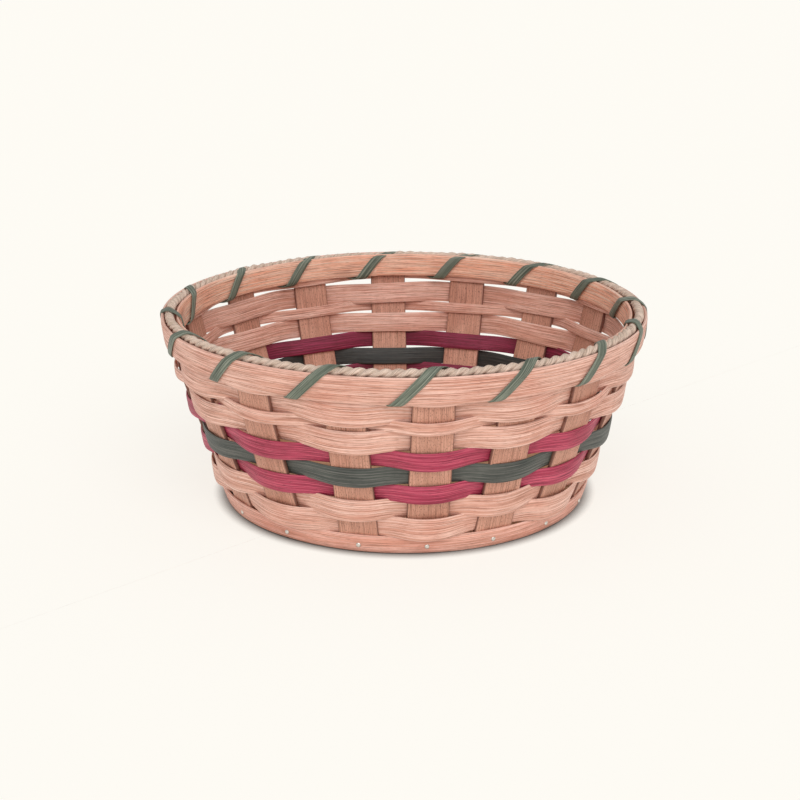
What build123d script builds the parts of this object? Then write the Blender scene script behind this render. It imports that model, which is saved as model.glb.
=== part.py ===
from build123d import *
import math
import os

# Round splint basket: a base disc of wood, flat stakes nailed round its edge under a bottom
# band, nine woven rows, and a rim of two bands with a seagrass rope on top. One spiral lashing
# binds the rim. Millimetres. +Z is up, the origin is the middle of the underside, and the
# front is towards -Y. Angles run from the front towards +X.

# Wall: straight up to the bend, then curved towards the vertical. Its height is that of the
# strips stacked in it.
base_radius = 92.6  # to the middle of the stakes at z = 0
wall_flare = 19.0  # degrees from vertical below the bend
bend_height = 60.0
bend_radius = 185.0

# Stakes
stake_count = 16  # even, because the rows alternate
stake_width = 20.3
stake_thickness = 1.5
stake_foot = 0.6  # height of a stake's lower end
first_stake_angle = 8.0

# Base disc
base_thickness = 9.5
base_edge_round = 1.0

# Bottom band
bottom_band_foot = 1.0  # height of its lower edge
bottom_band_width = 10.4
bottom_band_thickness = 2.0

# Woven rows, from the bottom up
row_widths = [9.6, 10.0, 9.2, 10.0, 9.8, 10.7, 5.8, 9.9, 10.0]
row_thickness = 1.3
row_gap = 0.25
row_dip = 0.4  # how far a strip slides down the wall where it passes outside a stake

# Rim
outer_band_width = 14.2
outer_band_thickness = 2.0
inner_band_width = 12.4
inner_band_thickness = 2.0
inner_band_rise = 1.0  # its lower edge is this far above that of the outer band
band_edge_round = 0.9
rope_diameter = 5.0
rope_rise = 0.3  # height of the rope's middle above the top of the outer band

# Lashing
lash_width = 5.3
lash_thickness = 0.8
lash_start = 0.5  # share of a stake space past a stake where a turn passes under the rim

# Nails
nail_height = 4.9
nail_length = 9.5
nail_diameter = 1.2
nail_head_diameter = 2.4
nail_head_top = 1.4  # diameter of the flat on top of the domed head
nail_head_thickness = 0.6

# Clearances
fit = 0.12
nail_clearance = 0.03

# Points along the curves that bend
ring_samples_per_stake = 4
lash_samples_per_turn = 48
lash_faces_per_turn = 8

stake_space = 360 / stake_count


def flare_at(z):
    """Angle of the wall from vertical, in radians, at a height."""
    straight = math.radians(wall_flare)
    if z <= bend_height:
        return straight
    return math.asin(math.sin(straight) - (z - bend_height) / bend_radius)


def wall(z, offset=0.0):
    """Point (radius, height) of the wall's middle surface, moved out along its normal."""
    straight = math.radians(wall_flare)
    angle = flare_at(z)
    radius = base_radius + min(z, bend_height) * math.tan(straight)
    radius += bend_radius * (math.cos(angle) - math.cos(straight))
    return Vector(radius + offset * math.cos(angle), z - offset * math.sin(angle))


def height_above(z, along):
    """Height reached by going a distance up the wall from z, or down for a negative one."""
    return z + along * math.cos(flare_at(z + along / 2))


class Strip:
    """Cross-section of a flat strip that lies along the wall, as (radius, height) points."""

    def __init__(self, foot, width):
        self.foot = foot
        self.top = height_above(foot, width)
        self.low = wall(self.foot)
        self.high = wall(self.top)
        self.up = (self.high - self.low).normalized()
        self.out = Vector(self.up.Y, -self.up.X)

    def edges(self, offset, slide=0.0):
        """Lower and upper edge of the strip, moved out from the wall and up along it."""
        move = self.out * offset + self.up * slide
        return self.low + move, self.high + move

    def bow(self):
        """How far the curved wall stands out of the straight strip."""
        middle = wall((self.foot + self.top) / 2) - (self.low + self.high) / 2
        return middle.dot(self.out)

    def outline(self, inside, thickness, edge_round=0.0):
        """Face of the strip's section, whose inner side is at an offset from the wall."""
        inner_low, inner_high = self.edges(inside)
        outer_low, outer_high = self.edges(inside + thickness)
        face = make_face(Polyline(inner_low, outer_low, outer_high, inner_high, close=True))
        return fillet(face.vertices(), edge_round) if edge_round else face


def turned(angle, point):
    """Point in space for a (radius, height) point at an angle round the basket."""
    turn = math.radians(angle)
    return Vector(point.X * math.sin(turn), -point.X * math.cos(turn), point.Y)


def faces_between(curves):
    """Ruled faces that join each curve to the next and the last to the first."""
    return [Face.make_surface_from_curves(a, b) for a, b in zip(curves, curves[1:] + curves[:1])]


def swing_of(strip):
    """How far a woven strip swings to each side, so that it clears both edges of a stake."""
    half_stake = math.asin(stake_width / 2 / strip.low.X)
    share = math.cos(half_stake * stake_count / 2)
    return (stake_thickness / 2 + row_thickness / 2 + fit + strip.bow()) / share


def make_woven_row(strip, side_at_first_stake):
    """A closed strip that passes outside one stake and inside the next, all the way round."""
    samples = ring_samples_per_stake * stake_count
    swing = swing_of(strip)

    def curve(edge, face_offset):
        points = []
        for i in range(samples):
            phase = side_at_first_stake * math.cos(math.pi * i / ring_samples_per_stake)
            point = strip.edges(swing * phase + face_offset, -row_dip * phase)[edge]
            points.append(turned(first_stake_angle + 360 * i / samples, point))
        return Edge.make_spline(points, periodic=True, parameters=list(range(samples + 1)))

    half = row_thickness / 2
    return Solid(Shell(faces_between([curve(0, half), curve(1, half), curve(1, -half), curve(0, -half)])))


def make_hoop(section):
    """A plain hoop with this section."""
    return revolve(Plane.XZ * section, Axis.Z)


def make_stake(top):
    """One stake at angle 90, which curves across its width as the basket does."""
    heights = [stake_foot, bend_height, (bend_height + top) / 2, top]
    half = stake_thickness / 2
    inner = [wall(z, -half) for z in heights]
    outer = [wall(z, half) for z in heights]
    sides = [Line(s[0], s[1]) + ThreePointArc(s[1], s[2], s[3]) for s in (inner, outer)]
    ends = [Line(inner[0], outer[0]), Line(inner[-1], outer[-1])]
    section = make_face(sides + ends)
    sector = 2 * stake_space
    wedge = Rot(0, 0, -sector / 2) * revolve(Plane.XZ * section, Axis.Z, sector)
    side = (Align.MIN, Align.CENTER, Align.CENTER)
    return wedge & Box(2 * inner[-1].X, stake_width, 3 * top, align=side)


def make_base():
    """The base disc, whose edge leans as the stakes do."""

    def edge_at(z):
        return Vector(wall(z).X - (stake_thickness / 2 + fit) / math.cos(flare_at(z)), z)

    middle = [Vector(0, base_thickness), Vector(0, 0)]
    section = make_face(Polyline(*middle, edge_at(0), edge_at(base_thickness), close=True))
    rim_corner = section.vertices().sort_by(Axis.X)[-1]
    return make_hoop(fillet(rim_corner, base_edge_round))


def nail_place(angle, offset):
    """Plane square to the wall at a nail, facing out."""
    seat = turned(angle, wall(nail_height, offset))
    return Plane(seat, z_dir=seat - turned(angle, wall(nail_height)))


def make_nail(angle, offset):
    """A nail whose head seats at an offset from the wall."""
    shank = Cylinder(nail_diameter / 2, nail_length, align=(Align.CENTER, Align.CENTER, Align.MAX))
    head = Cone(
        nail_head_diameter / 2,
        nail_head_top / 2,
        nail_head_thickness,
        align=(Align.CENTER, Align.CENTER, Align.MIN),
    )
    return nail_place(angle, offset) * (shank + head)


def nail_hole(angle, offset):
    """What is drilled away for a nail's shank."""
    place = nail_place(angle, offset)
    return place * Cylinder(nail_diameter / 2 + nail_clearance, 2 * (nail_length + nail_clearance))


def make_lashing(path):
    """One endless strip that goes once round the rim's section in each stake space.

    The rim is nearly a straight bar over one turn, so the strip's straight lines run along it.
    """
    samples = lash_samples_per_turn
    steps = samples // lash_faces_per_turn
    rise = math.radians(stake_space) / path.length
    spaced = [path.position_at(path.length * i / samples, PositionMode.LENGTH) for i in range(samples)]
    lowest = spaced.index(min(spaced, key=lambda place: place.Y))
    places = spaced[lowest:] + spaced[:lowest]

    def corner(turn, side, level, i):
        angle = first_stake_angle + (lash_start + turn + i / samples) * stake_space
        place = places[i % samples]
        along = places[(i + 1) % samples] - places[i % samples - 1]
        around = Vector(0, 0, 1).cross(turned(angle, Vector(1, 0)))
        outward = around.cross(turned(angle, along.normalized()))
        slant = math.hypot(1, place.X * rise)
        across = around * side * slant * lash_width / 2
        return turned(angle, place) + across + outward * level * lash_thickness / 2

    def curve(turn, side, level, first):
        points = [corner(turn, side, level, i) for i in range(first - 1, first + steps + 2)]
        ends = [(points[2] - points[0]) / 2, (points[-1] - points[-3]) / 2]
        parameters = list(range(steps + 1))
        return Edge.make_spline(points[1:-1], ends, parameters=parameters, scale=False)

    faces = []
    corners = [(1, 1), (1, -1), (-1, -1), (-1, 1)]
    for turn in range(stake_count):
        for first in range(0, samples, steps):
            faces += faces_between([curve(turn, side, level, first) for side, level in corners])
    return Solid(Shell(faces))


# The strips, stacked up the wall. The first row dips beside the bottom band. A row that dips
# beside another one needs room only near where they cross.
bottom_band = Strip(bottom_band_foot, bottom_band_width)
rows = []
foot = height_above(bottom_band.top, row_gap + row_dip)
for width in row_widths[:-1]:
    rows.append(Strip(foot, width))
    dip_room = row_dip * row_thickness / swing_of(rows[-1])
    foot = height_above(rows[-1].top, row_gap + dip_room)

# The rim bands stand above the slot that the lashing passes through, and hide the top row.
lash_slot = lash_thickness + 2 * fit + row_dip / 2
outer_band = Strip(height_above(rows[-1].top, lash_slot), outer_band_width)
inner_band = Strip(height_above(outer_band.foot, inner_band_rise), inner_band_width)
top_row_rise = inner_band_rise / 2 + 2 * fit + row_dip / 2
top_row = Strip(height_above(outer_band.foot, top_row_rise), row_widths[-1])
rows.append(top_row)

# The bands clamp the stake ends and the top row. The rope lies in the groove over them, on the
# outer band or on the top row, whichever is higher.
groove = swing_of(top_row) + row_thickness / 2 + fit + top_row.bow()
outer_section = outer_band.outline(groove, outer_band_thickness, band_edge_round)
inner_section = inner_band.outline(-groove - inner_band_thickness, inner_band_thickness, band_edge_round)
rope_seat = height_above(top_row.top, row_dip + fit)
rope_height = max(outer_band.top + rope_rise, rope_seat + rope_diameter / 2)
rope_middle = Vector(outer_band.high.X, rope_height)
rope_section = Pos(rope_middle) * Circle(rope_diameter / 2)
stake_top = rope_middle.Y - rope_diameter / 2 - fit

# The lashing lies round the bands and the rope.
bound = [outer_section, inner_section, rope_section]
rim_hull = make_hull([edge for section in bound for edge in section.edges()])
lash_path = offset(rim_hull, fit + lash_thickness / 2).face().outer_wire()

stake_angles = [first_stake_angle + i * stake_space for i in range(stake_count)]
stake_outside = stake_thickness / 2 + fit
nail_seat = stake_outside + bottom_band_thickness + nail_clearance
nail_holes = [nail_hole(angle, nail_seat) for angle in stake_angles]

nodes = {"base_disc": make_base() - nail_holes}
stake = make_stake(stake_top)
for i, (angle, hole) in enumerate(zip(stake_angles, nail_holes)):
    nodes[f"stake_{i + 1:02d}"] = Rot(0, 0, angle - 90) * stake - hole
nodes["bottom_band"] = make_hoop(bottom_band.outline(stake_outside, bottom_band_thickness)) - nail_holes
nodes["band_nails"] = Compound([make_nail(angle, nail_seat).solid() for angle in stake_angles])
for i, strip in enumerate(rows):
    nodes[f"woven_row_{i + 1}"] = make_woven_row(strip, 1 if i % 2 == 0 else -1)
nodes["rim_band_outer"] = make_hoop(outer_section)
nodes["rim_band_inner"] = make_hoop(inner_section)
nodes["seagrass_rope"] = make_hoop(rope_section)
nodes["rim_lashing"] = make_lashing(lash_path)

os.makedirs("parts", exist_ok=True)
for name, part in nodes.items():
    export_step(part, f"parts/{name}.step")
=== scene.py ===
"""Visual model of a low round splint basket, dressed over its fixed CAD frame.

Metres. +Z is up, the front is towards -Y, and angles run from the front towards +X.
"""

import logging
import math
import random
from collections.abc import Callable
from dataclasses import dataclass, field, replace
from enum import Enum

import bmesh
import bpy
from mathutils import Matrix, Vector


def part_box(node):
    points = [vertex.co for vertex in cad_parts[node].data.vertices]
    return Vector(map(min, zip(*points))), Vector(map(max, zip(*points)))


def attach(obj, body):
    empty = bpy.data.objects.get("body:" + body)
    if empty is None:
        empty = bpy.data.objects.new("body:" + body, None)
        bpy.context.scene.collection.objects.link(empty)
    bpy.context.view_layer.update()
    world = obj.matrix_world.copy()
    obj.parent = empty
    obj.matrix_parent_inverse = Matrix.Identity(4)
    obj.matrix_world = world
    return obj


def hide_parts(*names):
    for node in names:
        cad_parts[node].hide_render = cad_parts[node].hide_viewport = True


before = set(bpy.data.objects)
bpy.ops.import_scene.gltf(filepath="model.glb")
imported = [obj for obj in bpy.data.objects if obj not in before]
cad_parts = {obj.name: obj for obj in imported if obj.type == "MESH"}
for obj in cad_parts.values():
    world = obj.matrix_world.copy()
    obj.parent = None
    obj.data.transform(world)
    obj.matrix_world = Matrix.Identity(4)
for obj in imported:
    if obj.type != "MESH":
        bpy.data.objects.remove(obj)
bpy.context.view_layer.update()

LOG = logging.getLogger("basket")
SEED = 20
TAU = 2 * math.pi
BODY = "root"
SPUN_RADIUS = 0.2
Colour = tuple[float, float, float]
Scale = tuple[float, float, float]
Place = Callable[[int, int], Vector]
Grain = Callable[[int, int], tuple[float, float, float, float]]


def polar(angle: float, radius: float, height: float) -> Vector:
    """Turn a place given round the basket's axis into a point.

    Args:
        angle: Radians from the front towards +X.
        radius: Distance from the axis.
        height: Height above the floor.

    Returns:
        The point.
    """
    return Vector((radius * math.sin(angle), -radius * math.cos(angle), height))


def blend_steps(knots: list[tuple[float, float]], at: float) -> float:
    """Read a value off straight runs between knots.

    Args:
        knots: Pairs of position and value, in rising order of position.
        at: The position to read.

    Returns:
        The value, held level past either end.
    """
    if at <= knots[0][0]:
        return knots[0][1]
    for (low, before), (high, after) in zip(knots, knots[1:]):
        if at <= high:
            return before + (after - before) * (at - low) / (high - low)
    return knots[-1][1]


class Slot(Enum):
    """The record's material slots."""

    BASE = "base_wood"
    STAKE = "stake_reed"
    NATURAL = "natural_reed"
    CRIMSON = "crimson_reed"
    GREEN = "green_reed"
    LASHING = "lashing_reed"
    SEAGRASS = "seagrass"
    NAIL = "nail_steel"


# ---------------------------------------------------------------------------------------------
# Finishes


class Graph:
    """A material's node tree, with short ways to add and join nodes."""

    def __init__(self, name: str) -> None:
        """Start a material that holds one Principled shader.

        Args:
            name: The material's name.
        """
        self.material = bpy.data.materials.new(name)
        self.material.use_nodes = True
        self.tree = self.material.node_tree
        self.shader = next(n for n in self.tree.nodes if n.type == "BSDF_PRINCIPLED")

    def add(self, kind: str, **settings: object) -> bpy.types.Node:
        """Add a node.

        Args:
            kind: The node's type name.
            settings: Properties to set on it.

        Returns:
            The node.
        """
        node = self.tree.nodes.new(kind)
        for key, value in settings.items():
            setattr(node, key, value)
        return node

    def join(self, source: bpy.types.NodeSocket, target: bpy.types.NodeSocket) -> None:
        """Link one socket to another."""
        self.tree.links.new(source, target)

    def stretched(self, source: bpy.types.NodeSocket, scale: Scale) -> bpy.types.NodeSocket:
        """Scale coordinates so that a pattern is drawn out along one of them.

        Args:
            source: The coordinates.
            scale: Pattern units per metre on each axis.

        Returns:
            The scaled coordinates.
        """
        node = self.add("ShaderNodeMapping")
        node.inputs["Scale"].default_value = scale
        self.join(source, node.inputs["Vector"])
        return node.outputs["Vector"]

    def noise(
        self, source: bpy.types.NodeSocket, scale: float, detail: float = 3.0, rough: float = 0.55
    ) -> bpy.types.NodeSocket:
        """Add a noise pattern.

        Args:
            source: The coordinates.
            scale: Size of the pattern on them.
            detail: Octaves of finer noise.
            rough: Weight of the finer octaves.

        Returns:
            The noise as a number.
        """
        node = self.add("ShaderNodeTexNoise")
        node.inputs["Scale"].default_value = scale
        node.inputs["Detail"].default_value = detail
        node.inputs["Roughness"].default_value = rough
        self.join(source, node.inputs["Vector"])
        return node.outputs["Fac"]

    def grain(
        self,
        source: bpy.types.NodeSocket,
        along: float,
        across: float,
        detail: float,
        rough: float,
    ) -> bpy.types.NodeSocket:
        """Add noise that is drawn out along a strip.

        Args:
            source: The coordinates, along the strip and across it.
            along: Pattern units per metre along the strip.
            across: Pattern units per metre across it.
            detail: Octaves of finer noise.
            rough: Weight of the finer octaves.

        Returns:
            The noise as a number.
        """
        return self.noise(self.stretched(source, (along, across, 1)), 1.0, detail, rough)

    def span(
        self, source: bpy.types.NodeSocket, low: float, high: float, to_low: float, to_high: float
    ) -> bpy.types.NodeSocket:
        """Stretch a range of a number over another range, clamped.

        Args:
            source: The number.
            low: Start of the range that is read.
            high: End of the range that is read.
            to_low: What the start becomes.
            to_high: What the end becomes.

        Returns:
            The new number.
        """
        node = self.add("ShaderNodeMapRange")
        node.inputs["From Min"].default_value = low
        node.inputs["From Max"].default_value = high
        node.inputs["To Min"].default_value = to_low
        node.inputs["To Max"].default_value = to_high
        self.join(source, node.inputs["Value"])
        return node.outputs["Result"]

    def maths(
        self,
        operation: str,
        first: bpy.types.NodeSocket,
        second: bpy.types.NodeSocket | float = 0.0,
    ) -> bpy.types.NodeSocket:
        """Combine two numbers.

        Args:
            operation: The Math node's operation.
            first: The first number.
            second: The second number, or a constant.

        Returns:
            The result.
        """
        node = self.add("ShaderNodeMath", operation=operation)
        self.join(first, node.inputs[0])
        if isinstance(second, bpy.types.NodeSocket):
            self.join(second, node.inputs[1])
        else:
            node.inputs[1].default_value = second
        return node.outputs["Value"]

    def tint(
        self,
        amount: bpy.types.NodeSocket,
        under: bpy.types.NodeSocket | Colour,
        over: bpy.types.NodeSocket | Colour,
        mode: str = "MIX",
    ) -> bpy.types.NodeSocket:
        """Lay one colour over another.

        Args:
            amount: How much of the upper colour shows.
            under: The lower colour.
            over: The upper colour.
            mode: How they blend.

        Returns:
            The colour.
        """
        node = self.add("ShaderNodeMix", data_type="RGBA", blend_type=mode)
        self.join(amount, node.inputs[0])
        for socket, value in ((node.inputs[6], under), (node.inputs[7], over)):
            if isinstance(value, bpy.types.NodeSocket):
                self.join(value, socket)
            else:
                socket.default_value = (*value, 1.0)
        return node.outputs[2]

    def relief(self, height: bpy.types.NodeSocket, strength: float, depth: float) -> None:
        """Bump the surface.

        Args:
            height: The height pattern.
            strength: How much of it shows.
            depth: What a height of one is worth, in metres.
        """
        node = self.add("ShaderNodeBump")
        node.inputs["Strength"].default_value = strength
        node.inputs["Distance"].default_value = depth
        self.join(height, node.inputs["Height"])
        self.join(node.outputs["Normal"], self.shader.inputs["Normal"])


@dataclass(frozen=True)
class ReedFinish:
    """Split reed: long fibres, broad streaks, dark pores, and edges in an edge colour: paler worn
    edges on the strips, and on the stakes a dark edge that is partly their cut edge and partly
    painted shade.

    The rough side, which faces into the basket, takes the dye deeper.
    """

    slot: Slot
    name: str
    pale: Colour
    body: Colour
    deep: Colour
    # Edge colour: paler wear on the strips; on the stakes a dark brown that is partly cut edge,
    # partly painted shade.
    edge_wear_and_shade: Colour
    rough_side: Colour = (1.0, 1.0, 1.0)
    streak_share: float = 1.0
    fibre_share: float = 0.95
    pore_share: float = 0.6
    edge_start: float = 0.84
    edge_share: float = 0.35
    stain_share: float = 0.35
    fibres_along: float = 40.0
    fibres_per_metre: float = 2700.0
    streaks_along: float = 14.0
    streaks_per_metre: float = 1300.0
    pores_along: float = 260.0
    pores_across: float = 4200.0
    stain_scale: float = 38.0
    streak_height: float = 1.6
    pore_depth: float = 0.4
    bump_depth: float = 0.00022
    rough_low: float = 0.42
    rough_high: float = 0.66

    def material(self) -> bpy.types.Material:
        """Build the node material.

        Returns:
            The material.
        """
        graph = Graph(self.name)
        layout = graph.add("ShaderNodeUVMap", uv_map="grain").outputs["UV"]
        place = graph.add("ShaderNodeTexCoord").outputs["Object"]
        fibres = graph.grain(layout, self.fibres_along, self.fibres_per_metre, 4, 0.6)
        streaks = graph.grain(layout, self.streaks_along, self.streaks_per_metre, 4, 0.62)
        pores = graph.grain(layout, self.pores_along, self.pores_across, 1, 0.5)
        stains = graph.noise(place, self.stain_scale, 3, 0.6)

        streaked = graph.span(streaks, 0.42, 0.56, 0, self.streak_share)
        colour = graph.tint(streaked, self.pale, self.body)
        colour = graph.tint(graph.span(fibres, 0.48, 0.64, 0, self.fibre_share), colour, self.deep)
        colour = graph.tint(graph.span(pores, 0.60, 0.70, 0, self.pore_share), colour, self.deep)
        stained = graph.span(stains, 0.45, 0.75, 0, self.stain_share)
        colour = graph.tint(stained, colour, self.body, "MULTIPLY")

        # Edges blend into the edge colour: paler worn edges on the strips, and on the stakes a dark
        # edge that is partly the cut edge and partly painted shade.
        across = graph.add("ShaderNodeUVMap", uv_map="across")
        split = graph.add("ShaderNodeSeparateXYZ")
        graph.join(across.outputs["UV"], split.inputs["Vector"])
        edge = graph.maths("ABSOLUTE", split.outputs["Y"])
        edge = graph.span(edge, self.edge_start, 1.0, 0, self.edge_share)
        colour = graph.tint(edge, colour, self.edge_wear_and_shade)
        colour = graph.tint(split.outputs["X"], colour, self.rough_side, "MULTIPLY")
        graph.join(colour, graph.shader.inputs["Base Color"])

        rough = graph.span(fibres, 0.35, 0.7, self.rough_low, self.rough_high)
        graph.join(rough, graph.shader.inputs["Roughness"])
        height = graph.maths("ADD", fibres, graph.maths("MULTIPLY", streaks, self.streak_height))
        height = graph.maths("SUBTRACT", height, graph.maths("MULTIPLY", pores, self.pore_depth))
        graph.relief(height, 0.8, self.bump_depth)
        return graph.material


@dataclass(frozen=True)
class SeagrassFinish:
    """Dry twisted grass: blades along each ply, straw with green and brown patches."""

    straw: Colour = (0.86, 0.67, 0.55)
    green: Colour = (0.56, 0.44, 0.33)
    brown: Colour = (0.22, 0.11, 0.07)
    blades_along: float = 160.0
    blades_per_metre: float = 3600.0
    patches_along: float = 90.0
    patches_per_metre: float = 500.0
    bump_depth: float = 0.0003

    def material(self) -> bpy.types.Material:
        """Build the node material.

        Returns:
            The material.
        """
        graph = Graph(Slot.SEAGRASS.value)
        layout = graph.add("ShaderNodeUVMap", uv_map="grain").outputs["UV"]
        blades = graph.grain(layout, self.blades_along, self.blades_per_metre, 3, 0.6)
        patches = graph.grain(layout, self.patches_along, self.patches_per_metre, 3, 0.6)
        colour = graph.tint(graph.span(patches, 0.42, 0.66, 0, 0.75), self.straw, self.green)
        colour = graph.tint(graph.span(blades, 0.46, 0.70, 0, 0.85), colour, self.brown)
        graph.join(colour, graph.shader.inputs["Base Color"])
        graph.join(graph.span(blades, 0.3, 0.7, 0.6, 0.85), graph.shader.inputs["Roughness"])
        graph.relief(blades, 0.9, self.bump_depth)
        return graph.material


@dataclass(frozen=True)
class BoardFinish:
    """A flat-sawn base board: drawn-out growth rings, fine grain and rubbed stain."""

    light: Colour = (0.58, 0.34, 0.19)
    dark: Colour = (0.34, 0.17, 0.085)
    ring_scale: float = 36.0
    ring_wander: float = 9.0
    ring_stretch: Scale = (0.12, 1.0, 1.0)
    grain_scale: Scale = (40, 1500, 1500)
    stain_scale: float = 30.0
    bump_depth: float = 0.00015

    def material(self) -> bpy.types.Material:
        """Build the node material.

        Returns:
            The material.
        """
        graph = Graph(Slot.BASE.value)
        place = graph.add("ShaderNodeTexCoord").outputs["Object"]
        rings = graph.add("ShaderNodeTexWave", wave_type="BANDS", bands_direction="Y")
        rings.inputs["Scale"].default_value = self.ring_scale
        rings.inputs["Distortion"].default_value = self.ring_wander
        rings.inputs["Detail"].default_value = 3.0
        rings.inputs["Detail Scale"].default_value = 0.7
        graph.join(graph.stretched(place, self.ring_stretch), rings.inputs["Vector"])
        grain = graph.noise(graph.stretched(place, self.grain_scale), 1.0, 4, 0.6)
        stain = graph.noise(place, self.stain_scale, 3, 0.55)
        ringed = graph.span(rings.outputs["Fac"], 0.3, 0.95, 0, 0.5)
        colour = graph.tint(ringed, self.light, self.dark)
        colour = graph.tint(graph.span(grain, 0.45, 0.75, 0, 0.6), colour, self.dark)
        colour = graph.tint(graph.span(stain, 0.45, 0.7, 0, 0.3), colour, self.dark, "MULTIPLY")
        graph.join(colour, graph.shader.inputs["Base Color"])
        graph.join(graph.span(grain, 0.3, 0.7, 0.45, 0.65), graph.shader.inputs["Roughness"])
        graph.relief(grain, 0.5, self.bump_depth)
        return graph.material


@dataclass(frozen=True)
class NailFinish:
    """Bright steel with fine scuffs."""

    steel: Colour = (0.78, 0.74, 0.68)
    dull: Colour = (0.45, 0.40, 0.34)
    scuff_scale: float = 1800.0
    bump_depth: float = 0.00005

    def material(self) -> bpy.types.Material:
        """Build the node material.

        Returns:
            The material.
        """
        graph = Graph(Slot.NAIL.value)
        place = graph.add("ShaderNodeTexCoord").outputs["Object"]
        scuffs = graph.noise(place, self.scuff_scale, 4, 0.65)
        colour = graph.tint(graph.span(scuffs, 0.45, 0.7, 0, 0.8), self.steel, self.dull)
        graph.join(colour, graph.shader.inputs["Base Color"])
        graph.join(graph.span(scuffs, 0.3, 0.7, 0.22, 0.45), graph.shader.inputs["Roughness"])
        graph.shader.inputs["Metallic"].default_value = 1.0
        graph.relief(scuffs, 0.4, self.bump_depth)
        return graph.material


# ---------------------------------------------------------------------------------------------
# Meshes


@dataclass(frozen=True)
class FlatOval:
    """The section of a split strip: nearly flat faces and thin rounded edges."""

    width: float
    thickness: float
    points: int = 16
    fullness: float = 0.5

    def outline(self) -> list[tuple[float, float]]:
        """List the section's points.

        Returns:
            Pairs of the distance across, upward, and the distance outward.
        """
        pairs = []
        for i in range(self.points):
            turn = TAU * (i + 0.5) / self.points
            cosine, sine = math.cos(turn), math.sin(turn)
            across = math.copysign(abs(cosine) ** self.fullness, cosine) * self.width / 2
            pairs.append((across, sine * self.thickness / 2))
        return pairs


@dataclass(frozen=True)
class StripGrain:
    """Lays the grain along a split strip, with other grain on its rough side."""

    outline: list[tuple[float, float]]
    width: float
    step_length: float
    drift: float
    rough_shift: float = 0.02

    def at(self, step: int, side: int) -> tuple[float, float, float, float]:
        """Give a point's place in the grain.

        Args:
            step: The section, counted along the strip.
            side: The point of the section.

        Returns:
            The length along, the length across, the share across and the roughness of the side.
        """
        across, out = self.outline[side % len(self.outline)]
        rough = 1.0 if out < 0 else 0.0
        over = across + self.drift - self.rough_shift * rough
        return step * self.step_length + self.drift, over, 2 * across / self.width, rough


def finish_piece(
    name: str, mesh: bmesh.types.BMesh, slot: Slot, material: bpy.types.Material, nodes: list[str]
) -> bpy.types.Object:
    """Turn a bmesh into a finished piece of the object.

    Args:
        name: The piece's name.
        mesh: Its shape, which is freed.
        slot: The record's slot that its finish belongs to; not used.
        material: Its finish.
        nodes: The CAD nodes that it stands for.

    Returns:
        The object, riding on its body.
    """
    data = bpy.data.meshes.new(name)
    mesh.to_mesh(data)
    mesh.free()
    data.polygons.foreach_set("use_smooth", [True] * len(data.polygons))
    data.materials.append(material)
    piece = bpy.data.objects.new(name, data)
    bpy.context.scene.collection.objects.link(piece)
    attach(piece, BODY)
    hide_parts(*nodes)
    LOG.info("%s: %d faces, stands for %s", name, len(data.polygons), ", ".join(nodes))
    return piece


def closed_sweep(
    mesh: bmesh.types.BMesh, steps: int, sides: int, place: Place, grain: Grain
) -> None:
    """Add a closed ring of sections to a mesh.

    A circle is spun round the axis, and each of its points then moves to its own place.

    Args:
        mesh: The mesh to add to.
        steps: Sections round the ring.
        sides: Points round each section.
        place: Gives a point's place from its step and side.
        grain: Gives the length along, the length across, the share across, from -1 to 1, and 1
            on the side that faces the axis or 0 on the other.
    """
    start = len(mesh.verts)
    side_of = mesh.verts.layers.int.get("side") or mesh.verts.layers.int.new("side")
    circle = bmesh.ops.create_circle(mesh, segments=sides, radius=SPUN_RADIUS)["verts"]
    for number, vert in enumerate(circle):
        vert[side_of] = number
        vert.co = Vector((0, -1 - vert.co.x, vert.co.y))
    edges = list({edge for vert in circle for edge in vert.link_edges})
    bmesh.ops.spin(
        mesh,
        geom=circle + edges,
        cent=(0, 0, 0),
        axis=(0, 0, 1),
        angle=TAU,
        steps=steps,
        use_merge=True,
    )
    mesh.verts.ensure_lookup_table()
    ring = mesh.verts[start:]
    step_of = {v: round(math.atan2(v.co.x, -v.co.y) / TAU * steps) % steps for v in ring}
    lengths = mesh.loops.layers.uv.get("grain") or mesh.loops.layers.uv.new("grain")
    shares = mesh.loops.layers.uv.get("across") or mesh.loops.layers.uv.new("across")
    for face in {face for vert in ring for face in vert.link_faces}:
        corner_steps = [step_of[loop.vert] for loop in face.loops]
        corner_sides = [loop.vert[side_of] for loop in face.loops]
        for loop in face.loops:
            step, side = step_of[loop.vert], loop.vert[side_of]
            step += steps if step == 0 and max(corner_steps) == steps - 1 else 0
            side += sides if side == 0 and max(corner_sides) == sides - 1 else 0
            along, over, share, rough = grain(step, side)
            loop[lengths].uv = (along, over)
            loop[shares].uv = (rough, share)
    for vert in ring:
        vert.co = place(step_of[vert], vert[side_of])
    bmesh.ops.recalc_face_normals(mesh, faces=list({f for v in ring for f in v.link_faces}))


# ---------------------------------------------------------------------------------------------
# The basket


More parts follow.
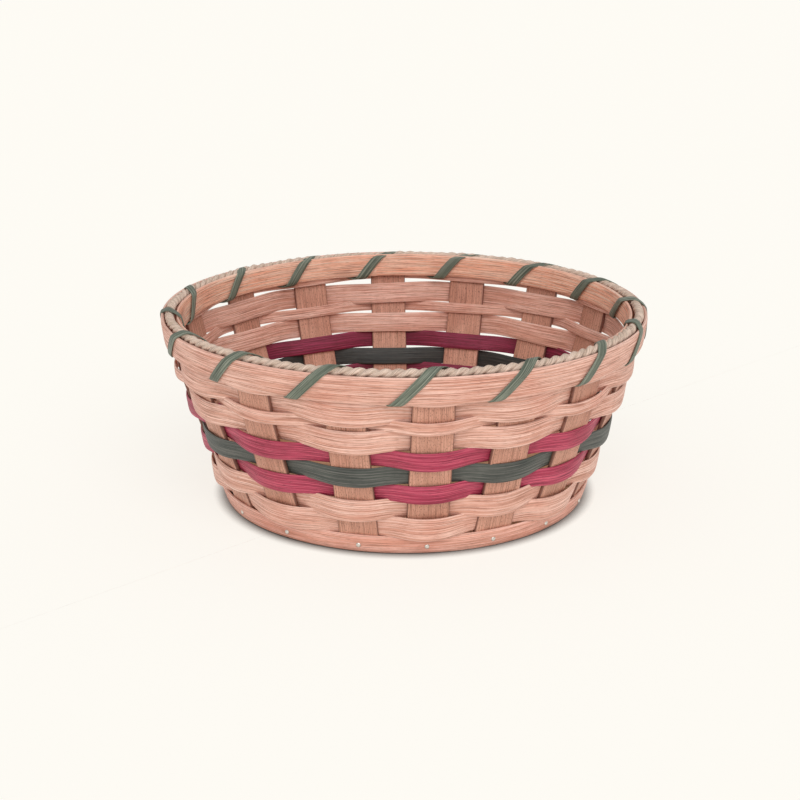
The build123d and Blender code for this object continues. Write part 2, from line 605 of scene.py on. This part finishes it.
@dataclass
class Wall:
    """The surface through the middle of the stakes, and where they stand.

    The strays are how far each stake was set from its even place, in degrees. The lashing has a
    drift of its own.
    """

    flare: float = math.radians(19)
    bend_height: float = 0.060
    bend_radius: float = 0.185
    band_reach: float = 0.00644
    stakes: int = 16
    first_stake: float = math.radians(8)
    drift: float = math.radians(3.4)
    strays: tuple[float, ...] = (
        *(-1.4, -3.4, -5.3, -5.8, -4.6, -2.4, -3.9, -3.4),
        *(-3.4, -3.2, -2.7, -2.1, -1.0, 0.5, -0.3, 1.0),
    )
    settling: tuple[tuple[float, float], ...] = (
        (0.012, 0.0),
        (0.026, 0.0010),
        (0.0455, 0.0036),
        (0.066, 0.0054),
        (0.081, 0.0044),
        (0.095, 0.0022),
    )
    foot_radius: float = field(init=False)

    def __post_init__(self) -> None:
        """Measure the foot of the wall on the CAD's bottom band."""
        self.foot_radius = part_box("bottom_band")[1].x - self.band_reach

    @property
    def space(self) -> float:
        """The angle from one stake to the next."""
        return TAU / self.stakes

    def drifted(self, angle: float) -> float:
        """Move an even angle to where the lashing drifted to, most of all at the back."""
        return angle - self.drift * (1 - math.cos(angle)) / 2

    def stray_at(self, even: float) -> float:
        """Say how far hand setting put the weave from its even place.

        Args:
            even: The even angle.

        Returns:
            The turn, in radians.
        """
        whole, share = divmod((even - self.first_stake) / self.space, 1)
        before = self.strays[int(whole) % self.stakes]
        after = self.strays[(int(whole) + 1) % self.stakes]
        return math.radians(before * (1 - share) + after * share)

    def stake_angle(self, number: int) -> float:
        """Give the angle of a stake, counted from 0 at the first."""
        even = self.first_stake + number * self.space
        return even + self.stray_at(even)

    def stake_count_at(self, angle: float) -> float:
        """Count the stake spaces from the first stake to an angle.

        Args:
            angle: Where round the basket, as built.

        Returns:
            A whole number at each stake.
        """
        even = angle
        for _ in range(5):
            even = angle - self.stray_at(even)
        return (even - self.first_stake) / self.space

    def lean(self, height: float) -> float:
        """Give the wall's angle from vertical at a height."""
        over = max(0.0, height - self.bend_height) / self.bend_radius
        return math.asin(max(0.0, math.sin(self.flare) - over))

    def radius(self, height: float) -> float:
        """Give the wall's radius.

        Args:
            height: Height above the floor.

        Returns:
            The distance from the axis.
        """
        straight = min(height, self.bend_height) * math.tan(self.flare)
        bent = self.bend_radius * (math.cos(self.lean(height)) - math.cos(self.flare))
        return self.foot_radius + straight + bent

    def settled(self, angle: float, height: float) -> float:
        """Lower a height towards the back, where the weave has settled.

        Args:
            angle: Where round the basket.
            height: The height at the front.

        Returns:
            The height there.
        """
        drop = blend_steps(list(self.settling), height)
        return height - drop * (1 - math.cos(angle)) / 2


class Wander:
    """A smooth closed line of small random offsets round the basket."""

    def __init__(self, source: random.Random, size: float, waves: int) -> None:
        """Draw the line.

        Args:
            source: The random numbers.
            size: The largest offset, roughly.
            waves: How many waves it may have round the basket.
        """
        self.parts = [
            (k, source.uniform(-1, 1) * size / math.sqrt(waves), source.uniform(0, TAU))
            for k in range(2, waves + 2)
        ]

    def at(self, angle: float) -> float:
        """Give the offset at an angle."""
        return sum(share * math.cos(k * angle + turn) for k, share, turn in self.parts)


@dataclass
class Row:
    """One woven strip."""

    number: int
    width: float
    slot: Slot
    lift: float
    stand_off: float
    wall: Wall
    source: random.Random
    thickness: float = 0.0014
    swing: float = 0.0025
    dip: float = 0.0016
    inner_dip: float = 0.0011
    flat_behind: float = 0.85
    upright: float = math.radians(11)
    inner_lean: float = math.radians(3)
    slimmer_behind: float = 0.08
    lift_wander: float = 0.0005
    bulge_wander: float = 0.0004
    twist_wander: float = math.radians(2.5)
    width_wander: float = 0.035
    steps_per_stake: int = 14

    @property
    def node(self) -> str:
        """The CAD node that the row stands for."""
        return f"woven_row_{self.number}"

    def side_at(self, angle: float) -> float:
        """Say on which side of the stakes the strip is.

        Args:
            angle: Where round the basket.

        Returns:
            1 outside a stake, -1 inside one, and between them on the way across.
        """
        phase = self.wall.stake_count_at(angle) + self.number + 1
        wave = math.cos(math.pi * phase)
        return wave * (1.25 - 0.25 * wave * wave)

    def build(self, material: bpy.types.Material) -> bpy.types.Object:
        """Weave the strip.

        Args:
            material: Its finish.

        Returns:
            The piece.
        """
        low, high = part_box(self.node)
        middle = (low.z + high.z) / 2 + self.lift
        outline = FlatOval(self.width, self.thickness).outline()
        steps = self.steps_per_stake * self.wall.stakes
        lift = Wander(self.source, self.lift_wander, 9)
        bulge = Wander(self.source, self.bulge_wander, 11)
        twist = Wander(self.source, self.twist_wander, 12)
        narrow = Wander(self.source, self.width_wander, 8)
        step_length = TAU * self.wall.radius(middle) / steps
        grain = StripGrain(outline, self.width, step_length, self.source.uniform(0, 5))
        seam = self.wall.first_stake - self.number % 2 * self.wall.space

        def place(step: int, side: int) -> Vector:
            """Put one point of the strip where it goes.

            Args:
                step: The section.
                side: The point of the section.

            Returns:
                The point.
            """
            angle = seam + TAU * step / steps
            outside = self.side_at(angle)
            share, crossing = (1 + outside) / 2, 1 - outside * outside
            sunk = self.dip * share + self.inner_dip * (1 - share)
            sunk *= 1 - crossing * (1 - self.flat_behind * (1 - math.cos(angle)) / 2)
            height = self.wall.settled(angle, middle) - sunk + lift.at(angle)
            lean = self.wall.lean(height) + twist.at(angle) + self.inner_lean
            lean -= (self.upright + self.inner_lean) * share
            radius = self.wall.radius(height) + self.stand_off
            radius += self.swing * outside + bulge.at(angle)
            across, out = outline[side]
            across *= 1 + narrow.at(angle) - self.slimmer_behind * (1 - math.cos(angle)) / 2
            return polar(
                angle,
                radius + across * math.sin(lean) + out * math.cos(lean),
                height + across * math.cos(lean) - out * math.sin(lean),
            )

        mesh = bmesh.new()
        closed_sweep(mesh, steps, len(outline), place, grain.at)
        return finish_piece(f"weaver_{self.number}", mesh, self.slot, material, [self.node])


@dataclass
class Stake:
    """One upright reed."""

    number: int
    wall: Wall
    source: random.Random
    width: float = 0.0203
    thickness: float = 0.0019
    top: float = 0.0985
    width_spread: float = 0.03
    slant_spread: float = 0.006
    edge_softness: float = 0.00045
    cuts_along: int = 40
    cuts_across: int = 6

    def build(self, material: bpy.types.Material) -> bpy.types.Object:
        """Shape the stake.

        Args:
            material: Its finish.

        Returns:
            The piece.
        """
        node = f"stake_{self.number:02d}"
        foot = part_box(node)[0].z
        angle = self.wall.stake_angle(self.number - 1)
        width = self.width * (1 + self.source.uniform(-self.width_spread, self.width_spread))
        slant = self.source.uniform(-self.slant_spread, self.slant_spread)
        drift = self.source.uniform(0, 5)
        mesh = bmesh.new()
        lengths = mesh.loops.layers.uv.new("grain")
        shares = mesh.loops.layers.uv.new("across")
        bmesh.ops.create_grid(mesh, x_segments=self.cuts_across, y_segments=self.cuts_along, size=1)
        for face in mesh.faces:
            for loop in face.loops:
                across, along = loop.vert.co.x, (loop.vert.co.y + 1) / 2
                loop[lengths].uv = (along * self.top + drift, across * width / 2 + drift)
                loop[shares].uv = (0, across)
        outward, sideways = polar(angle, 1, 0), polar(angle + math.pi / 2, 1, 0)
        for vert in mesh.verts:
            across, along = vert.co.x, (vert.co.y + 1) / 2
            height = foot + (self.top - foot) * along
            settled = self.wall.settled(angle, height)
            over = across * width / 2 + slant * (height - self.top / 2)
            vert.co = outward * self.wall.radius(settled) + sideways * over
            vert.co.z = settled
        for face in mesh.faces:
            if face.normal.dot(outward) < 0:
                face.normal_flip()
        bmesh.ops.recalc_face_normals(mesh, faces=mesh.faces[:])
        piece = finish_piece(f"upright_{self.number:02d}", mesh, Slot.STAKE, material, [node])
        solid = piece.modifiers.new("thickness", "SOLIDIFY")
        solid.thickness = self.thickness
        solid.offset = 0
        soft = piece.modifiers.new("soft edges", "BEVEL")
        soft.width = self.edge_softness
        soft.segments = 2
        return piece


@dataclass
class Hoop:
    """A flat-oval band that lies level round the basket."""

    name: str
    node: str
    wall: Wall
    source: random.Random
    width: float
    thickness: float
    lean: float
    waver: float = 0.0003
    seam: float = math.radians(188)
    fullness: float = 0.32
    steps: int = 192

    def build(self, material: bpy.types.Material) -> bpy.types.Object:
        """Bend the band.

        Args:
            material: Its finish.

        Returns:
            The piece.
        """
        low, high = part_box(self.node)
        middle = (low.z + high.z) / 2
        reach = math.sin(self.lean) * self.width / 2 + math.cos(self.lean) * self.thickness / 2
        radius = high.x - reach
        outline = FlatOval(self.width, self.thickness, 20, self.fullness).outline()
        lift = Wander(self.source, self.waver, 7)
        bulge = Wander(self.source, self.waver, 7)
        step_length = TAU * radius / self.steps
        grain = StripGrain(outline, self.width, step_length, self.source.uniform(0, 5))

        def place(step: int, side: int) -> Vector:
            """Put one point of the band where it goes.

            Args:
                step: The section.
                side: The point of the section.

            Returns:
                The point.
            """
            angle = self.seam + TAU * step / self.steps
            across, out = outline[side]
            height = self.wall.settled(angle, middle) + lift.at(angle)
            return polar(
                angle,
                radius + bulge.at(angle) + across * math.sin(self.lean) + out * math.cos(self.lean),
                height + across * math.cos(self.lean) - out * math.sin(self.lean),
            )

        mesh = bmesh.new()
        closed_sweep(mesh, self.steps, len(outline), place, grain.at)
        return finish_piece(self.name, mesh, Slot.NATURAL, material, [self.node])


@dataclass
class Rope:
    """Two plies of seagrass twisted together along the groove of the rim."""

    wall: Wall
    source: random.Random
    node: str = "seagrass_rope"
    lay: float = 0.0122
    ply_share: float = 0.66
    sink: float = 0.0022
    lift_wander: float = 0.0004
    bulge_wander: float = 0.0003
    size_wander: float = 0.10
    steps_per_turn: int = 14
    sides: int = 8

    def build(self, material: bpy.types.Material) -> bpy.types.Object:
        """Twist the rope.

        Args:
            material: Its finish.

        Returns:
            The piece.
        """
        low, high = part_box(self.node)
        size = (high.z - low.z) / 2
        radius, middle = high.x - size, (low.z + high.z) / 2
        turns = round(TAU * radius / self.lay)
        steps = turns * self.steps_per_turn
        ply = size * self.ply_share
        lift = Wander(self.source, self.lift_wander, 24)
        bulge = Wander(self.source, self.bulge_wander, 24)
        fat = Wander(self.source, self.size_wander, 60)
        mesh = bmesh.new()
        for strand in range(2):

            def place(step: int, side: int) -> Vector:
                """Put one point of a ply where it goes.

                Args:
                    step: The section.
                    side: The point of the section.

                Returns:
                    The point.
                """
                angle = TAU * step / steps
                twist = TAU * (step / self.steps_per_turn) + math.pi * strand
                turn = TAU * side / self.sides + twist
                thick = ply * (1 + fat.at(angle + strand))
                drop = self.sink * (1 - math.cos(angle)) / 2
                out = (size - ply) * math.cos(twist) + thick * math.cos(turn)
                up = (size - ply) * math.sin(twist) + thick * math.sin(turn)
                height = self.wall.settled(angle, middle) - drop + lift.at(angle)
                return polar(angle, radius + bulge.at(angle) + out, height + up)

            def grain(step: int, side: int) -> tuple[float, float, float, float]:
                """Lay the blades of grass along a ply.

                Args:
                    step: The section.
                    side: The point of the section.

                Returns:
                    The length along, the length across, and two shares that a rope has no use for.
                """
                along = TAU * step / steps * radius
                return along + strand, ply * TAU * side / self.sides + strand, 0.0, 0.0

            closed_sweep(mesh, steps, self.sides, place, grain)
        return finish_piece("rim_rope", mesh, Slot.SEAGRASS, material, [self.node])


@dataclass
class Lashing:
    """The thin strip that is wound round the rim, once for each stake space."""

    wall: Wall
    source: random.Random
    node: str = "rim_lashing"
    width: float = 0.0051
    thickness: float = 0.0007
    start: float = 0.5
    gap: float = 0.00015
    sink: float = 0.0030
    steps_per_turn: int = 40
    cuts: int = 4
    stray: float = 0.04
    inner_slope: float = 0.0036

    def path(self) -> list[tuple[float, float]]:
        """Lay the strip's middle round the rim's section.

        Returns:
            Even steps of radius and height, from under the rim, out and up.
        """
        outer_low, outer_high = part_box("rim_band_outer")
        inner_low, inner_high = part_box("rim_band_inner")
        rope_low, rope_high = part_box("seagrass_rope")
        off = self.gap + self.thickness / 2
        rope = rope_high.x - (rope_high.z - rope_low.z) / 2
        inner_foot = inner_high.x - self.inner_slope
        corners = [
            ((inner_foot + outer_high.x) / 2, inner_low.z + 0.0004),
            (outer_high.x - 0.0030, outer_low.z - off),
            (outer_high.x - 0.0014 + off, outer_low.z + 0.0008),
            (outer_high.x + off, outer_high.z - 0.0012),
            (outer_high.x - 0.0010, outer_high.z + 0.0010),
            (rope + 0.0012, rope_high.z + off),
            (rope - 0.0012, rope_high.z + off),
            (inner_high.x - 0.0024, inner_high.z + 0.0006),
            (inner_high.x - 0.0028 - off, inner_high.z - 0.0012),
            (inner_foot - 0.0010 - off, inner_low.z + 0.0010),
            (inner_foot, inner_low.z - off),
        ]
        for _ in range(self.cuts):
            cut = []
            for (r0, z0), (r1, z1) in zip(corners, corners[1:] + corners[:1]):
                cut += [(r0 * 0.75 + r1 * 0.25, z0 * 0.75 + z1 * 0.25)]
                cut += [(r0 * 0.25 + r1 * 0.75, z0 * 0.25 + z1 * 0.75)]
            corners = cut
        return self.evenly(corners)

    def evenly(self, points: list[tuple[float, float]]) -> list[tuple[float, float]]:
        """Respace a closed line into the steps of one turn.

        Args:
            points: The line's points.

        Returns:
            As many points as a turn has steps, equally far apart.
        """
        ring = points + points[:1]
        reach = [0.0]
        for before, after in zip(ring, ring[1:]):
            reach.append(reach[-1] + math.dist(before, after))
        spaced = []
        for step in range(self.steps_per_turn):
            at = reach[-1] * step / self.steps_per_turn
            radius = blend_steps([(d, p[0]) for d, p in zip(reach, ring)], at)
            height = blend_steps([(d, p[1]) for d, p in zip(reach, ring)], at)
            spaced.append((radius, height))
        return spaced

    def build(self, material: bpy.types.Material) -> bpy.types.Object:
        """Wind the strip.

        Args:
            material: Its finish.

        Returns:
            The piece.
        """
        path = self.path()
        band_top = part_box("rim_band_inner")[1].z - 0.001
        rope_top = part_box("seagrass_rope")[1].z
        count = len(path)
        length = sum(math.dist(path[i - 1], path[i]) for i in range(count))
        outline = FlatOval(self.width, self.thickness, 10, 0.4).outline()
        steps = count * self.wall.stakes
        shift = [
            self.source.uniform(-self.stray, self.stray) for _ in range(self.wall.stakes + 1)
        ]
        shift[-1] = shift[0]
        step_length = math.hypot(length, self.wall.space * path[0][0]) / count
        grain = StripGrain(outline, self.width, step_length, self.source.uniform(0, 5))

        def place(step: int, side: int) -> Vector:
            """Put one point of the strip where it goes.

            Args:
                step: The section.
                side: The point of the section.

            Returns:
                The point.
            """
            turn, share = divmod(step / count, 1)
            stray = shift[int(turn)] * (1 - share) + shift[int(turn) + 1] * share
            even = self.wall.first_stake + (self.start + step / count + stray) * self.wall.space
            angle = self.wall.drifted(even)
            radius, height = path[step % count]
            before, after = path[step % count - 1], path[(step + 1) % count]
            run = Vector((after[0] - before[0], after[1] - before[1])).normalized()
            slant = math.hypot(1, radius * self.wall.space / length)
            across, out = outline[side]
            over = (height - band_top) / (rope_top - band_top)
            fall = self.sink * max(0, over) * (1 - math.cos(angle)) / 2
            sink = Vector((0, 0, self.wall.settled(angle, height) - height - fall))
            spot = polar(angle, radius + out * run.y, height - out * run.x) + sink
            return spot + polar(angle + math.pi / 2, across * slant, 0)

        mesh = bmesh.new()
        closed_sweep(mesh, steps, len(outline), place, grain.at)
        return finish_piece("rim_binding", mesh, Slot.LASHING, material, [self.node])


@dataclass
class Nails:
    """Small domed nail heads, one through the bottom band at each stake."""

    wall: Wall
    node: str = "band_nails"
    head: float = 0.00125
    dome: float = 0.5
    height: float = 0.0046
    segments: int = 14
    rings: int = 10

    def build(self, material: bpy.types.Material) -> bpy.types.Object:
        """Drive the nails.

        Args:
            material: Their finish.

        Returns:
            The piece.
        """
        to_side = (math.pi / 2 - self.wall.first_stake) % self.wall.space
        off_axis = min(to_side, self.wall.space - to_side)
        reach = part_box(self.node)[1].x / math.cos(off_axis) - self.head * self.dome
        mesh = bmesh.new()
        for number in range(self.wall.stakes):
            angle = self.wall.stake_angle(number)
            ball = bmesh.ops.create_uvsphere(
                mesh, u_segments=self.segments, v_segments=self.rings, radius=self.head
            )["verts"]
            outward, sideways = polar(angle, 1, 0), polar(angle + math.pi / 2, 1, 0)
            centre = outward * reach + Vector((0, 0, self.height))
            for vert in ball:
                local = vert.co.copy()
                vert.co = centre + outward * local.z * self.dome + sideways * local.x
                vert.co.z += local.y
        bmesh.ops.recalc_face_normals(mesh, faces=mesh.faces[:])
        return finish_piece("nail_heads", mesh, Slot.NAIL, material, [self.node])


# ---------------------------------------------------------------------------------------------
# The room


@dataclass(frozen=True)
class Sun:
    """One broad even light: its strength, its spread in degrees and where it hangs."""

    name: str
    strength: float
    spread: float
    toward: tuple[float, float, float]

    def hang(self) -> None:
        """Put the light into the room."""
        data = bpy.data.lights.new(self.name, "SUN")
        data.energy = self.strength
        data.angle = math.radians(self.spread)
        light = bpy.data.objects.new(self.name, data)
        light.rotation_euler = Vector(self.toward).to_track_quat("Z", "Y").to_euler()
        bpy.context.scene.collection.objects.link(light)


@dataclass
class Studio:
    """A plain pale floor, soft light and the camera."""

    floor_size: float = 200.0
    floor_colour: Colour = (0.26, 0.255, 0.24)
    floor_mottle: Colour = (0.255, 0.25, 0.235)
    floor_glow: Colour = (0.98, 0.955, 0.895)
    glow_strength: float = 0.775
    shadow_reach: float = 0.007
    sky_colour: Colour = (1.0, 1.0, 1.0)
    sky_strength: float = 0.58
    suns: tuple[Sun, ...] = (
        Sun("key", 1.30, 50, (0.22, -1.0, 0.96)),
        Sun("fill", 0.22, 60, (-0.9, -0.8, 0.5)),
    )
    camera_distance: float = 0.990
    camera_height: float = 0.375
    camera_pitch: float = math.radians(18.24)
    camera_lens: float = 88.07
    camera_shift: float = -0.0054
    sensor_width: float = 36.0

    def floor(self) -> None:
        """Lay the floor: an evenly glowing pale sheet, its glow dimmed next to the basket into a
        painted contact shadow.
        """
        mesh = bmesh.new()
        bmesh.ops.create_grid(mesh, x_segments=1, y_segments=1, size=self.floor_size / 2)
        data = bpy.data.meshes.new("floor")
        mesh.to_mesh(data)
        mesh.free()
        graph = Graph("floor_paper")
        place = graph.add("ShaderNodeTexCoord").outputs["Object"]
        tone = graph.span(graph.noise(place, 2.0), 0.3, 0.7, 0, 0.02)
        colour = graph.tint(tone, self.floor_colour, self.floor_mottle)
        graph.join(colour, graph.shader.inputs["Base Color"])
        # Painted contact shadow: ambient occlusion within shadow_reach of the basket dims the
        # floor's glow.
        contact_shade = graph.add("ShaderNodeAmbientOcclusion", samples=8)
        contact_shade.inputs["Distance"].default_value = self.shadow_reach
        glow_with_painted_shadow = graph.span(contact_shade.outputs["AO"], 0.30, 0.95, 0.0, self.glow_strength)
        graph.shader.inputs["Emission Color"].default_value = (*self.floor_glow, 1)
        graph.join(glow_with_painted_shadow, graph.shader.inputs["Emission Strength"])
        graph.shader.inputs["Roughness"].default_value = 1.0
        graph.shader.inputs["Specular IOR Level"].default_value = 0.0
        data.materials.append(graph.material)
        floor = bpy.data.objects.new("floor", data)
        bpy.context.scene.collection.objects.link(floor)

    def sky(self) -> None:
        """Fill the room with even light."""
        world = bpy.data.worlds.new("studio")
        world.use_nodes = True
        node = next(n for n in world.node_tree.nodes if n.type == "BACKGROUND")
        node.inputs["Color"].default_value = (*self.sky_colour, 1)
        node.inputs["Strength"].default_value = self.sky_strength
        bpy.context.scene.world = world

    def camera(self) -> None:
        """Set up the camera."""
        data = bpy.data.cameras.new("camera")
        data.lens = self.camera_lens
        data.sensor_width = self.sensor_width
        data.shift_x = self.camera_shift
        camera = bpy.data.objects.new("camera", data)
        camera.location = (0, -self.camera_distance, self.camera_height)
        camera.rotation_euler = (math.pi / 2 - self.camera_pitch, 0, 0)
        bpy.context.scene.collection.objects.link(camera)
        bpy.context.scene.camera = camera

    def build(self) -> None:
        """Set out the whole room."""
        self.floor()
        self.sky()
        for sun in self.suns:
            sun.hang()
        self.camera()
        bpy.context.scene.view_settings.view_transform = "Standard"


NATURAL_REED = ReedFinish(
    slot=Slot.NATURAL,
    name="natural_reed",
    pale=(0.97, 0.63, 0.52),
    body=(0.74, 0.37, 0.27),
    deep=(0.36, 0.145, 0.09),
    edge_wear_and_shade=(0.93, 0.66, 0.55),
)
# A brighter, more orange copy of the natural reed for the inside rim band: painted light for the
# light from the front that falls on the inside of the back wall.
LIT_INNER_RIM_REED = replace(
    NATURAL_REED, name="natural_reed_inside_painted_light", pale=(1.0, 0.69, 0.53), body=(1.0, 0.50, 0.33)
)
FOOT_REED = replace(
    NATURAL_REED, name="natural_reed_foot", pale=(0.95, 0.54, 0.44), body=(0.78, 0.36, 0.26)
)
# The stakes' dark brown edge colour, strong over their outer edges, is partly their cut edge and
# partly painted shade for the gap beside each stake.
STAKE_REED = ReedFinish(
    slot=Slot.STAKE,
    name="stake_reed",
    pale=(0.76, 0.39, 0.28),
    body=(0.56, 0.26, 0.17),
    deep=(0.24, 0.10, 0.06),
    edge_wear_and_shade=(0.13, 0.05, 0.035),
    edge_start=0.93,
    edge_share=0.8,
    streak_share=0.7,
    fibre_share=0.7,
    pore_share=1.0,
    streaks_per_metre=2200,
    pores_along=800,
    pores_across=2400,
)
CRIMSON_REED = ReedFinish(
    slot=Slot.CRIMSON,
    name="crimson_reed",
    pale=(0.68, 0.10, 0.17),
    body=(0.40, 0.018, 0.065),
    deep=(0.15, 0.005, 0.024),
    edge_wear_and_shade=(0.52, 0.08, 0.13),
    rough_side=(0.52, 0.28, 0.50),
)
GREEN_REED = ReedFinish(
    slot=Slot.GREEN,
    name="green_reed",
    pale=(0.16, 0.155, 0.135),
    body=(0.070, 0.078, 0.066),
    deep=(0.024, 0.030, 0.026),
    edge_wear_and_shade=(0.14, 0.14, 0.12),
    rough_side=(0.35, 0.33, 0.33),
)
LASHING_REED = ReedFinish(
    slot=Slot.LASHING,
    name="lashing_reed",
    pale=(0.30, 0.32, 0.25),
    body=(0.11, 0.135, 0.095),
    deep=(0.05, 0.065, 0.045),
    edge_wear_and_shade=(0.26, 0.30, 0.22),
)
SLOT_REEDS = (NATURAL_REED, STAKE_REED, CRIMSON_REED, GREEN_REED, LASHING_REED)

# Each row's width, slot, height above its CAD middle and distance outside the stakes' middle.
ROWS = (
    (0.0126, Slot.NATURAL, 0.0007, 0.0016),
    (0.0124, Slot.NATURAL, 0.0014, 0.0008),
    (0.0102, Slot.CRIMSON, 0.0013, 0.0005),
    (0.0105, Slot.GREEN, 0.0015, 0.0005),
    (0.0101, Slot.CRIMSON, 0.0017, 0.0005),
    (0.0121, Slot.NATURAL, 0.0018, 0.0005),
    (0.0065, Slot.NATURAL, 0.0016, 0.0005),
    (0.0126, Slot.NATURAL, 0.0007, 0.0003),
    (0.0122, Slot.NATURAL, -0.0004, 0.0002),
)


def main() -> None:
    """Build the basket and the room, piece by piece."""
    logging.basicConfig(level=logging.INFO, format="%(name)s: %(message)s")
    source = random.Random(SEED)
    Studio().build()
    finishes = {finish.slot: finish.material() for finish in SLOT_REEDS}
    wall = Wall()
    for number in range(1, wall.stakes + 1):
        Stake(number, wall, source).build(finishes[Slot.STAKE])
    for number, (width, slot, lift, stand_off) in enumerate(ROWS, 1):
        Row(number, width, slot, lift, stand_off, wall, source).build(finishes[slot])
    # The inside rim band takes the brighter copy of the natural reed, which is painted light.
    foot, lit_inner_rim = FOOT_REED.material(), LIT_INNER_RIM_REED.material()
    for name, node, width, thickness, lean, finish in (
        ("foot_band", "bottom_band", 0.0106, 0.0020, 19, foot),
        ("rim_outside", "rim_band_outer", 0.0144, 0.0022, 8, finishes[Slot.NATURAL]),
        ("rim_inside", "rim_band_inner", 0.0126, 0.0020, 8, lit_inner_rim),
    ):
        Hoop(name, node, wall, source, width, thickness, math.radians(lean)).build(finish)
    Rope(wall, source).build(SeagrassFinish().material())
    Lashing(wall, source).build(finishes[Slot.LASHING])
    Nails(wall).build(NailFinish().material())
    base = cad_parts["base_disc"]
    base.data.materials.clear()
    base.data.materials.append(BoardFinish().material())


if __name__ == "__main__":
    main()
